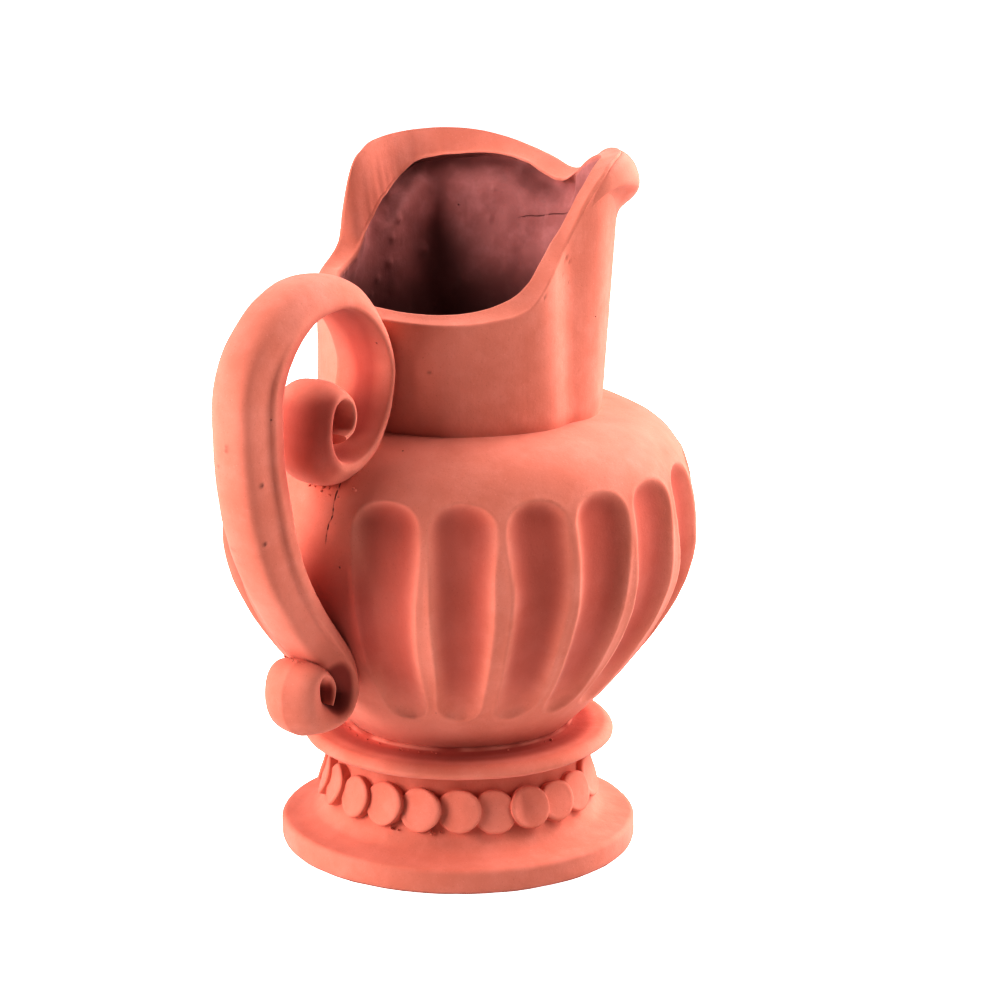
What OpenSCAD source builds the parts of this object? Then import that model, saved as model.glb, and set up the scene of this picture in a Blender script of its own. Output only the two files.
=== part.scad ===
/* [Foot] */
// Radius of the round foot plate
foot_r = 81; // [77:1:86]
// Height of the foot plate's upright edge
foot_edge_h = 11; // [9:0.5:13]
// Radius of the stem where it stands on the foot plate
stem_base_r = 61.4; // [60:0.1:64]
// Radius of the stem's waist, just under the collar
stem_waist_r = 53.8; // [52:0.1:56]
// Radius of the collar ring between the stem and the body
collar_r = 71.6; // [66:0.1:74]
// Thickness of the collar ring
collar_t = 7; // [6:0.5:8]

/* [Buttons] */
// How many pressed buttons run round the stem
button_count = 22; // [20:1:22]
// Radius of one button
button_r = 9.8; // [8.8:0.1:10]
// Thickness of one button
button_t = 3.3; // [2.5:0.1:4]

/* [Body] */
// Radius of the body at its widest
belly_r = 107; // [104:1:110]
// Height of the widest place above the floor
belly_z = 147; // [143:1:150]
// Radius of the flat disc that the body stands on
body_base_r = 48; // [46:1:50]
// Wall thickness of the body
body_wall = 8; // [6:0.5:9]
// Depth of the pressed flutes
flute_depth = 3.6; // [2:0.1:4.5]

/* [Neck] */
// Outer radius of the neck
neck_r = 63.5; // [62:0.1:65]
// Wall thickness at the foot of the neck
neck_wall = 8.5; // [7:0.5:9]
// Wall thickness at the cut rim
rim_wall = 10; // [8:0.5:11]
// Height of the rim at the handle
rim_low_z = 253; // [250:1:258]
// Height of the rim on each side of the spout
rim_high_z = 317; // [312:1:320]
// How far the rim dips at the middle of the spout
spout_dip = 10; // [4:1:12]
// Depth of the pinch between the neck and the spout
pinch_depth = 7; // [3:0.5:8]
// How far the rolled lip stands out from the neck
lip_roll_out = 9; // [6:0.5:10]

/* [Handle] */
// Width of the handle's strap
handle_w = 27; // [24:0.5:28]
// Height of the strap's rounded outer face above its sides
handle_crown = 4.5; // [3:0.5:5]

/* [Hidden] */
clay = "#d9694f";
seam = 0.05;              // slip joint between a curved piece and the wall that it is pressed on
round_fn = 96;

foot_bore_r = 50;
stem_base_z = 21.5;
stem_top_z = 48.5;
stem_bore_r = 46;
collar_bore_r = 30;
body_base_z = stem_top_z + collar_t;
shoulder_z = 203;
lean = atan((stem_base_r - stem_waist_r) / (stem_top_z - 2.5 - stem_base_z));
button_z = 32;
first_button = 3.3;       // degrees
punch_l = 20;

flute_pitch = 18;         // the flute that the handle would cover is left out
flute_half_w = 8.15;      // degrees
flute_top_z = 183;
flute_top_arc = 15;
flute_bottom_z = 77;
flute_bottom_arc = 9;

body_step = 3;            // degrees between the body's facets
body_rows = 9;
neck_step = 4;
neck_rows = 8;
pinch_at = 88;            // degrees from the handle
flare_from = 96;          // degrees from the handle; from here to the spout the neck leans outwards
flare_out = 7.5;
roll_half_h = 13;
roll_end = 60;            // degrees from the middle of the spout

button_names = [for (i = [1 : button_count]) str("button_", i < 10 ? "0" : "", i)];

// Curves

function clamp01(t) = min(1, max(0, t));
function smooth(t) = let (c = clamp01(t)) c * c * (3 - 2 * c);
function bump(d, w) = exp(-pow(d / w, 2));
function polar(r, a, z) = [r * cos(a), r * sin(a), z];
function bezier(p, t) =
    pow(1 - t, 3) * p[0] + 3 * t * pow(1 - t, 2) * p[1] + 3 * t * t * (1 - t) * p[2] + pow(t, 3) * p[3];

// A point at t between p1 and p2 on the smooth curve through p0, p1, p2 and p3
function through(p0, p1, p2, p3, t) =
    0.5 * (2 * p1 + (p2 - p0) * t + (2 * p0 - 5 * p1 + 4 * p2 - p3) * t * t
    + (3 * p1 - p0 - 3 * p2 + p3) * t * t * t);
function smooth_path(p, n) = let (last = len(p) - 1) concat(
    [for (i = [0 : last - 1], k = [0 : n - 1])
        through(p[max(0, i - 1)], p[i], p[i + 1], p[min(last, i + 2)], k / n)],
    [p[last]]);

// A closed skin over rings of equally many points. With wrap the last ring joins the first.
module skin(rings, wrap = false) {
    m = len(rings);
    n = len(rings[0]);
    polyhedron(
        points = [for (r = rings) each r],
        faces = concat(
            [for (i = [0 : m - (wrap ? 1 : 2)], j = [0 : n - 1]) let (i2 = (i + 1) % m, j2 = (j + 1) % n)
                each [[i * n + j, i2 * n + j, i2 * n + j2], [i * n + j, i2 * n + j2, i * n + j2]]],
            wrap ? [] : [[for (j = [0 : n - 1]) j], [for (j = [n - 1 : -1 : 0]) (m - 1) * n + j]]));
}

// Body

lower_curve = [
    [body_base_r, body_base_z], [body_base_r + 18, body_base_z + 17.5],
    [belly_r, belly_z - 35], [belly_r, belly_z]];
upper_curve = [
    [belly_r, belly_z], [belly_r, belly_z + 31],
    [belly_r - 9, shoulder_z - 3], [neck_r, shoulder_z]];
body_curve = concat(
    [for (i = [0 : body_rows - 1]) bezier(lower_curve, i / body_rows)],
    [for (i = [0 : body_rows]) bezier(upper_curve, i / body_rows)]);
body_heights = [for (p = body_curve) [p[1], p[0]]];

// Outer radius of the plain wall, body or neck, at height z
function wall_r(z) = z >= shoulder_z ? neck_r : lookup(z, body_heights);

function flute_end(z) =
    let (up = (z - flute_top_z + flute_top_arc) / flute_top_arc,
         down = (flute_bottom_z + flute_bottom_arc - z) / flute_bottom_arc)
    sqrt(max(0, 1 - pow(max(0, up, down), 2)));
function flute(a, z) =
    let (at = round(a / flute_pitch), half = flute_half_w * flute_end(z), off = a - at * flute_pitch)
    at * flute_pitch == 180 || half == 0 ? 0 : flute_depth * max(0, 1 - pow(off / half, 2));

// The curve's point i, moved in by the wall's thickness
function inner_point(i) =
    let (along = body_curve[i + 1] - body_curve[i - 1], u = along / norm(along))
    body_curve[i] + body_wall * [-u[1], u[0]];

function body_ring(r, z, fluted) =
    [for (a = [0 : body_step : 359]) polar(r - (fluted ? flute(a, z) : 0), a, z)];

module body() {
    throat_r = neck_r - neck_wall;
    color(clay) skin(concat(
        [for (p = body_curve) body_ring(p[0], p[1], true)],
        [body_ring(throat_r, shoulder_z, false), body_ring(throat_r, shoulder_z - body_wall + 2, false)],
        [for (i = [2 * body_rows - 1 : -2 : 2]) let (p = inner_point(i)) body_ring(p[0], p[1], false)],
        [body_ring(body_base_r - 6, body_base_z + body_wall, false)]));
}

// Foot

module foot_plate() {
    edge = 1.5;
    color(clay) rotate_extrude($fn = round_fn) polygon([
        [foot_bore_r, 0], [foot_r - 1, 0], [foot_r, 1], [foot_r, foot_edge_h - edge],
        [foot_r - edge, foot_edge_h], [foot_r - 8, foot_edge_h + 1.5],
        [stem_base_r + 2.5, stem_base_z - 4], [stem_base_r, stem_base_z], [foot_bore_r, stem_base_z]]);
}

module stem_cone(grow) {
    rise = stem_top_z - stem_base_z;
    translate([0, 0, stem_base_z])
        cylinder(r1 = stem_base_r + grow, r2 = stem_base_r + grow - rise * tan(lean), h = rise, $fn = round_fn);
}

module foot_stem() {
    color(clay) difference() {
        stem_cone(0);
        translate([0, 0, stem_base_z - 1])
            cylinder(r1 = foot_bore_r, r2 = stem_bore_r, h = stem_top_z - stem_base_z + 2, $fn = round_fn);
    }
}

module collar_ring() {
    round_r = collar_t / 2;
    color(clay) translate([0, 0, stem_top_z]) rotate_extrude($fn = round_fn) {
        translate([collar_bore_r, 0]) square([collar_r - round_r - collar_bore_r, collar_t]);
        translate([collar_r - round_r, round_r]) intersection() {
            circle(r = round_r, $fn = round_fn);
            translate([0, -round_r]) square(collar_t);
        }
    }
}

// The punch that cuts button i out of the clay, square to the leaning stem
module button_punch(i) {
    rotate([0, 0, i * 360 / button_count + first_button])
        translate([stem_base_r - (button_z - stem_base_z) * tan(lean), 0, button_z])
            rotate([0, 90 - lean, 0])
                translate([0, 0, -punch_l / 2]) cylinder(r = button_r, h = punch_l, $fn = round_fn);
}

// Buttons lie on each other like shingles, so each one stops at the next one's edge.
module button(i) {
    color(clay) difference() {
        intersection() {
            stem_cone(button_t / cos(lean));
            button_punch(i);
        }
        stem_cone(0);
        button_punch(i - 1);
    }
}

// Neck

function from_handle(a) = abs(180 - a);
function neck_h(z) = (z - shoulder_z) / (rim_high_z - shoulder_z);
function neck_out(a, z) =
    let (b = from_handle(a), h = neck_h(z))
    neck_r + flare_out * h * smooth((b - flare_from) / 30)
    - pinch_depth * (0.3 + 0.7 * h) * bump(b - pinch_at, 8 + 5 * h);
function rim_z(a) =
    let (b = from_handle(a))
    rim_low_z + (rim_high_z - rim_low_z) * smooth((b - 62) / 48) - spout_dip * bump(180 - b, 16);

// A ring on the neck's wall: in is how far inside the outer face, t runs from the shoulder to the rim less drop
function neck_ring(t, drop, in) =
    [for (a = [0 : neck_step : 359])
        let (z = shoulder_z + t * (rim_z(a) - drop - shoulder_z)) polar(neck_out(a, z) - in, a, z)];

module neck() {
    edge = 2;
    inner_rows = neck_rows / 2;
    color(clay) skin(concat(
        [for (i = [0 : neck_rows]) neck_ring(i / neck_rows, edge, 0)],
        [neck_ring(1, 0, edge), neck_ring(1, 0, rim_wall - edge)],
        [for (i = [inner_rows : -1 : 0]) let (t = i / inner_rows)
            neck_ring(t, edge, neck_wall + t * (rim_wall - neck_wall))]), wrap = true);
}

// The lip is rolled outwards round the front, and its back is pressed on the neck.
module lip_roll() {
    color(clay) skin(
        [for (s = [-roll_end : neck_step : roll_end])
            let (a = (s + 360) % 360, mid_z = rim_z(a) - roll_half_h, size = abs(s) == roll_end ? 0.8 : 1)
            [for (k = [330 : -30 : 0])
                let (z = mid_z + size * roll_half_h * sin(k), wall = neck_out(a, z))
                polar(max(wall + seam, wall + size * lip_roll_out * cos(k)), a, z)]]);
}

// Handle

// Places along the handle, as distance from the pitcher's axis, height, and thickness of the strap's side
join_place = [139.7, 170, 16];
volute_places = [
    join_place, [144.4, 187.5, 16.5], [147.6, 204, 16], [148.8, 220, 16.5], [148.8, 235, 16.5],
    [146.2, 245, 16], [139.8, 253.8, 15], [129.9, 261.2, 13.5], [119.2, 266.2, 12], [108, 268.2, 10.5],
    [97, 267.8, 9.5], [86, 263.5, 9], [76.5, 255, 8], [70, 244, 6.5], [67.5, 233, 5.5], [69, 221.5, 5.5],
    [73.5, 209.5, 6.5], [81.5, 199.5, 7.5], [92, 194.5, 8], [102.5, 195, 8], [109.5, 200, 7],
    [112.5, 208, 5.5], [111.8, 217.5, 4.5], [108.5, 225, 4.5], [102, 228, 4.5], [95.5, 224.5, 4.2],
    [92.8, 217.5, 4], [95, 211, 4], [100.5, 208.3, 4]];
strap_places = [
    [117, 118, 5], [120, 113, 13], [121.5, 105, 19], [120.5, 96.5, 20], [113.5, 89.5, 15], [105, 85.5, 10],
    [97, 87.5, 9.5], [93.5, 94, 11.5], [95.5, 102, 13], [101, 110.5, 12.5], [108.5, 119.5, 12],
    [117.5, 130.5, 12], [126.5, 143.5, 12.5], [134, 157, 14], join_place];

// The strap's section, as shares of half its width, of half its thickness and of its crown
section = [
    [1, 0.8, 0], [0.85, 1, 0.35], [0.45, 1, 0.8], [0, 1, 1], [-0.45, 1, 0.8], [-0.85, 1, 0.35],
    [-1, 0.8, 0], [-1, -0.7, 0], [-0.85, -1, 0], [0, -1, 0], [0.85, -1, 0], [1, -0.7, 0]];

// A point pushed out to the wall's outer face if it lies inside it
function off_wall(p) =
    let (r = norm([p[0], p[1]]), least = wall_r(p[2]) + seam)
    p[2] > rim_low_z || r >= least ? p : [p[0] * least / r, p[1] * least / r, p[2]];

function along(path, i) = let (d = path[min(len(path) - 1, i + 1)] - path[max(0, i - 1)]) [d[0], d[1]];
function strap_ring(p, direction) =
    let (u = direction / norm(direction), crown = min(handle_crown, p[2] / 2))
    [for (s = section)
        let (n = s[1] * p[2] / 2 + s[2] * crown)
        off_wall([-(p[0] + n * u[1]), s[0] * handle_w / 2, p[1] - n * u[0]])];

// Both pieces of the handle share one end face, square to this direction.
join_dir = [0.32, 0.95];

module handle_volute() {
    path = smooth_path(volute_places, 3);
    color(clay) skin([for (i = [0 : len(path) - 1]) strap_ring(path[i], i == 0 ? join_dir : along(path, i))]);
}

module handle_strap() {
    path = smooth_path(strap_places, 3);
    last = len(path) - 1;
    color(clay) skin([for (i = [0 : last]) strap_ring(path[i], i == last ? join_dir : along(path, i))]);
}

foot_plate();
foot_stem();
collar_ring();
body();
neck();
lip_roll();
handle_volute();
handle_strap();
for (i = [0 : button_count - 1])
    button(i);
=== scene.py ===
import math

import bpy
import numpy as np
from mathutils import Matrix, Vector


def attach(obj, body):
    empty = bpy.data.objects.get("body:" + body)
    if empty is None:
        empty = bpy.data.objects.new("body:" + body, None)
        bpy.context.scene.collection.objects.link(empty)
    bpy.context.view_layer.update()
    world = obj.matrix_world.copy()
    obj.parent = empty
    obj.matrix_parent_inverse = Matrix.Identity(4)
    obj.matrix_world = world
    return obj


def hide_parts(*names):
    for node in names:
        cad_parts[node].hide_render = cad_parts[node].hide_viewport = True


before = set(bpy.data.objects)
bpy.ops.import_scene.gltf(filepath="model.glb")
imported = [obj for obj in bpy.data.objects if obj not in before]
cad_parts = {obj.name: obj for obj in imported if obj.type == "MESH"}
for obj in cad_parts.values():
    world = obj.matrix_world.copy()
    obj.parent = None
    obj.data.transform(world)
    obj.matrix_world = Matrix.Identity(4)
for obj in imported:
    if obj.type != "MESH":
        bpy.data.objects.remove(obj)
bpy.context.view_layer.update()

# Everything below is in millimetres and degrees until a mesh is made. Angles run counterclockwise from the
# spout; the handle is at 180, and the side that the camera sees is from 180 to 360.
MM = 0.001
# The camera's heading, counterclockwise from the spout
VIEW_TURN = math.radians(36)

# Camera: distance and height of the eye in metres; tilt down, turn and roll in radians
EYE_DISTANCE, EYE_HEIGHT = 1.52924, 0.56707
TILT, TURN, ROLL = 0.2611, -0.0120, -0.0061
LENS, SENSOR = 126.58, 36

# Lights, as (heading from the camera, positive to the right; height angle; watts)
LIGHTS = [(-120, 15, 3.9), (-60, 15, 22.6), (75, 15, 6.7), (120, 15, 8.0),
          (-135, 45, 3.1), (-90, 45, 8.3), (90, 45, 17.4), (135, 45, 16.9)]
LIGHT_DISTANCE, LIGHT_SIZE = 1.5, 0.8
LIGHT_AIM = Vector((0, 0, 0.15))
FLOOR_HALF = 8


# Camera, lights and floor

def seen(right, away, up):
    """A direction given as the camera's heading sees it, in the row frame."""
    s, c = math.sin(VIEW_TURN), math.cos(VIEW_TURN)
    return Vector((right * s + away * c, -right * c + away * s, up))


def make_camera():
    cp, sp, cy, sy, cr, sr = (f(v) for v in (TILT, TURN, ROLL) for f in (math.cos, math.sin))
    right = seen(cy, sy, 0)
    ahead = seen(-sy * cp, cy * cp, -sp)
    up = seen(-sy * sp, cy * sp, cp)
    data = bpy.data.cameras.new("camera")
    data.lens, data.sensor_width = LENS, SENSOR
    data.clip_start, data.clip_end = 0.05, 50
    camera = bpy.data.objects.new("camera", data)
    turn = Matrix((cr * right - sr * up, sr * right + cr * up, -ahead)).transposed()
    camera.matrix_world = Matrix.Translation(seen(0, -EYE_DISTANCE, EYE_HEIGHT)) @ turn.to_4x4()
    bpy.context.scene.collection.objects.link(camera)
    bpy.context.scene.camera = camera


def make_light(heading, height, watts):
    h, e = math.radians(heading), math.radians(height)
    way = seen(math.sin(h) * math.cos(e), -math.cos(h) * math.cos(e), math.sin(e))
    place = LIGHT_AIM + LIGHT_DISTANCE * way
    data = bpy.data.lights.new("light_%d_%d" % (heading, height), "AREA")
    data.size, data.energy = LIGHT_SIZE, watts
    light = bpy.data.objects.new(data.name, data)
    turn = (LIGHT_AIM - place).to_track_quat("-Z", "Y").to_matrix().to_4x4()
    light.matrix_world = Matrix.Translation(place) @ turn
    bpy.context.scene.collection.objects.link(light)


def make_world():
    """White where the camera sees it, and no light from it."""
    world = bpy.data.worlds.new("studio")
    bpy.context.scene.world = world
    world.use_nodes = True
    nodes, links = world.node_tree.nodes, world.node_tree.links
    nodes.clear()
    out, path, mix, none, white = (nodes.new("ShaderNode" + kind) for kind in (
        "OutputWorld", "LightPath", "MixShader", "Background", "Background"))
    none.inputs["Strength"].default_value = 0.0
    white.inputs["Color"].default_value = (1, 1, 1, 1)
    white.inputs["Strength"].default_value = 1.2
    links.new(path.outputs["Is Camera Ray"], mix.inputs[0])
    links.new(none.outputs[0], mix.inputs[1])
    links.new(white.outputs[0], mix.inputs[2])
    links.new(mix.outputs[0], out.inputs[0])


def make_floor():
    mesh = bpy.data.meshes.new("floor")
    corners = [(x * FLOOR_HALF, y * FLOOR_HALF, 0) for x, y in ((-1, -1), (1, -1), (1, 1), (-1, 1))]
    mesh.from_pydata(corners, [], [(0, 1, 2, 3)])
    floor = bpy.data.objects.new("floor", mesh)
    bpy.context.scene.collection.objects.link(floor)
    material = bpy.data.materials.new("floor_paper")
    material.use_nodes = True
    nodes, links = material.node_tree.nodes, material.node_tree.links
    # The paper is overexposed: it is white where it is seen, but its bounced light is that of a dull sheet.
    out = nodes["Material Output"]
    nodes.remove(nodes["Principled BSDF"])
    path, mix, lit, under, dull, white, glow, bounce = (nodes.new("ShaderNode" + kind) for kind in (
        "LightPath", "MixShader", "AddShader", "AddShader", "BsdfDiffuse", "BsdfDiffuse", "Emission",
        "Emission"))
    bounce.inputs["Color"].default_value = (1, 1, 1, 1)
    bounce.inputs["Strength"].default_value = 0.68
    dull.inputs["Color"].default_value = (0.35, 0.35, 0.35, 1)
    white.inputs["Color"].default_value = (0.9, 0.9, 0.9, 1)
    glow.inputs["Color"].default_value = (1, 0.97, 0.985, 1)
    glow.inputs["Strength"].default_value = 1.05
    links.new(path.outputs["Is Camera Ray"], mix.inputs[0])
    links.new(dull.outputs[0], under.inputs[0])
    links.new(bounce.outputs[0], under.inputs[1])
    links.new(under.outputs[0], mix.inputs[1])
    links.new(white.outputs[0], lit.inputs[0])
    links.new(glow.outputs[0], lit.inputs[1])
    links.new(lit.outputs[0], mix.inputs[2])
    links.new(mix.outputs[0], out.inputs[0])
    mesh.materials.append(material)


# Curves and noise

def smooth(t):
    t = np.clip(t, 0, 1)
    return t * t * (3 - 2 * t)


def bump(d, w):
    return np.exp(-(np.asarray(d) / w) ** 2)


def bezier(p, t):
    p, t = np.array(p, float), np.asarray(t)[:, None]
    return (1 - t) ** 3 * p[0] + 3 * t * (1 - t) ** 2 * p[1] + 3 * t * t * (1 - t) * p[2] + t ** 3 * p[3]


def through(places, n):
    """Points on the smooth curve through places, n to each stretch."""
    p = np.array(places, float)
    last = len(p) - 1
    out = []
    for i in range(last):
        p0, p1, p2, p3 = p[max(0, i - 1)], p[i], p[i + 1], p[min(last, i + 2)]
        t = np.linspace(0, 1, n, endpoint=False)[:, None]
        out.append(0.5 * (2 * p1 + (p2 - p0) * t + (2 * p0 - 5 * p1 + 4 * p2 - p3) * t * t
                          + (3 * p1 - p0 - 3 * p2 + p3) * t ** 3))
    return np.vstack(out + [p[last:]])


def spline(x, table, period=None):
    """A smooth curve through the table's (x, y) points, read at x."""
    xs, ys = (np.array(v, float) for v in zip(*table))
    if period:
        xs = np.concatenate([xs - period, xs, xs + period])
        ys = np.concatenate([ys, ys, ys])
    slope = np.gradient(ys, xs)
    x = np.clip(x, xs[0], xs[-1])
    i = np.clip(np.searchsorted(xs, x) - 1, 0, len(xs) - 2)
    h = xs[i + 1] - xs[i]
    t = (x - xs[i]) / h
    return ((2 * t ** 3 - 3 * t ** 2 + 1) * ys[i] + (t ** 3 - 2 * t ** 2 + t) * h * slope[i]
            + (3 * t ** 2 - 2 * t ** 3) * ys[i + 1] + (t ** 3 - t ** 2) * h * slope[i + 1])


def evenly(path, step):
    """The path's points again, spaced evenly along it."""
    path = np.array(path, float)
    run = np.concatenate([[0], np.cumsum(np.linalg.norm(np.diff(path, axis=0), axis=1))])
    at = np.linspace(0, run[-1], max(2, int(run[-1] / step) + 1))
    return np.stack([np.interp(at, run, path[:, k]) for k in range(path.shape[1])], 1)


def rounded(corners, step):
    """A closed outline with its corners rounded. Each corner is (r, z, radius)."""
    c = np.array(corners, float)
    out = []
    for i in range(len(c)):
        here, before, after = c[i, :2], c[i - 1, :2], c[(i + 1) % len(c), :2]
        a, b = before - here, after - here
        la, lb = np.linalg.norm(a), np.linalg.norm(b)
        cut = min(c[i, 2], 0.45 * la, 0.45 * lb)
        p, q = here + a / la * cut, here + b / lb * cut
        for t in np.linspace(0, 1, 6 if cut > 0.4 else 2):
            out.append((1 - t) ** 2 * p + 2 * t * (1 - t) * here + t * t * q)
    out.append(out[0])
    return evenly(out, step)[:-1]


noise_tables = {}


def noise(p, size, seed):
    """Smooth noise from -1 to 1 at the points p, with lumps about size across."""
    if seed not in noise_tables:
        noise_tables[seed] = np.random.RandomState(seed).uniform(-1, 1, (32, 32, 32))
    table = noise_tables[seed]
    q = np.asarray(p, float) / size
    base = np.floor(q).astype(int)
    f = q - base
    f = f * f * (3 - 2 * f)
    total = 0
    for dx in (0, 1):
        for dy in (0, 1):
            for dz in (0, 1):
                share = ((f[..., 0] if dx else 1 - f[..., 0]) * (f[..., 1] if dy else 1 - f[..., 1])
                         * (f[..., 2] if dz else 1 - f[..., 2]))
                total = total + share * table[(base[..., 0] + dx) % 32, (base[..., 1] + dy) % 32,
                                              (base[..., 2] + dz) % 32]
    return total


# Meshes

def polar(r, a, z):
    a = np.radians(a)
    r, a, z = np.broadcast_arrays(r, a, z)
    return np.stack([r * np.cos(a), r * np.sin(a), z], -1)


def grid_normals(points, wrap_rows):
    """Outward normals of a grid whose rows are closed rings."""
    across = np.roll(points, -1, 1) - np.roll(points, 1, 1)
    if wrap_rows:
        up = np.roll(points, -1, 0) - np.roll(points, 1, 0)
    else:
        up = np.gradient(points, axis=0)
    n = np.cross(across, up)
    return n / np.maximum(np.linalg.norm(n, axis=-1, keepdims=True), 1e-9)


def handmade(points, wrap_rows=False, wobble=0.5, dents=0.12, fine=0.05, seed=1):
    """The grid with the unevenness of hand-worked clay."""
    lift = (wobble * noise(points, 38, seed) + dents * noise(points, 9, seed + 1)
            + fine * noise(points, 3.1, seed + 2))
    return points + grid_normals(points, wrap_rows) * lift[..., None]


def pitted(points, spots, wrap_rows=False):
    """The grid with pits, each (place, size, depth), and the painted shade in them. Negative depth: a pimple.
    """
    normal = grid_normals(points, wrap_rows)
    painted_shade = np.zeros(points.shape[:2])
    for place, size, depth in spots:
        share = bump(np.linalg.norm(points - place, axis=-1), size)
        points = points - normal * (depth * share)[..., None]
        # Painted shade: pits are darkened, pimples are not.
        if depth > 0:
            painted_shade = np.maximum(painted_shade, 0.8 * share)
    return points, painted_shade


def volume_of(points, faces):
    total = 0
    for k in range(1, faces.shape[1] - 1):
        a, b, c = points[faces[:, 0]], points[faces[:, k]], points[faces[:, k + 1]]
        total += np.einsum("ij,ij->i", a, np.cross(b, c)).sum()
    return total / 6


def add_mesh(name, points, quads, triangles, material, replaces=(), marks=None):
    """A clay piece on the one body. It stands for the CAD nodes that it replaces."""
    if len(quads) == 0:
        quads = np.zeros((0, 4), int)
    inside_out = volume_of(points, quads) + (volume_of(points, triangles) if len(triangles) else 0) < 0
    faces = [f[::-1] if inside_out else f for f in quads.tolist() + np.asarray(triangles, int).tolist()]
    mesh = bpy.data.meshes.new(name)
    mesh.from_pydata((points * MM).tolist(), [], faces)
    mesh.validate()
    mesh.shade_smooth()
    mesh.set_sharp_from_angle(angle=math.radians(58))
    for key, values in (marks or {}).items():
        values = values.astype(np.float32).ravel()
        mesh.attributes.new(key, "FLOAT", "POINT").data.foreach_set("value", values)
    mesh.materials.append(material)
    piece = bpy.data.objects.new(name, mesh)
    bpy.context.scene.collection.objects.link(piece)
    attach(piece, "root")
    if replaces:
        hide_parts(*replaces)


def grid_piece(name, points, material, replaces=(), wrap_rows=False, marks=None):
    """A piece from rows of closed rings, capped at both ends, or with wrap_rows joined from last to first."""
    m, n = points.shape[:2]
    i = np.arange(m if wrap_rows else m - 1)[:, None]
    j = np.arange(n)[None, :]
    i2, j2 = (i + 1) % m, (j + 1) % n
    quads = np.stack(np.broadcast_arrays(i * n + j, i * n + j2, i2 * n + j2, i2 * n + j), -1).reshape(-1, 4)
    flat = points.reshape(-1, 3)
    marks = {k: v.ravel() for k, v in (marks or {}).items()}
    triangles = np.zeros((0, 3), int)
    if not wrap_rows:
        ring = np.arange(n)
        nxt = (ring + 1) % n
        low, high = m * n, m * n + 1
        flat = np.vstack([flat, points[0].mean(0), points[-1].mean(0)])
        top = (m - 1) * n
        triangles = np.vstack([np.stack([nxt, ring, np.full(n, low)], 1),
                               np.stack([top + ring, top + nxt, np.full(n, high)], 1)])
        marks = {k: np.concatenate([v, [v[0], v[-1]]]) for k, v in marks.items()}
    add_mesh(name, flat, quads, triangles, material, replaces, marks)


# Material

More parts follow.
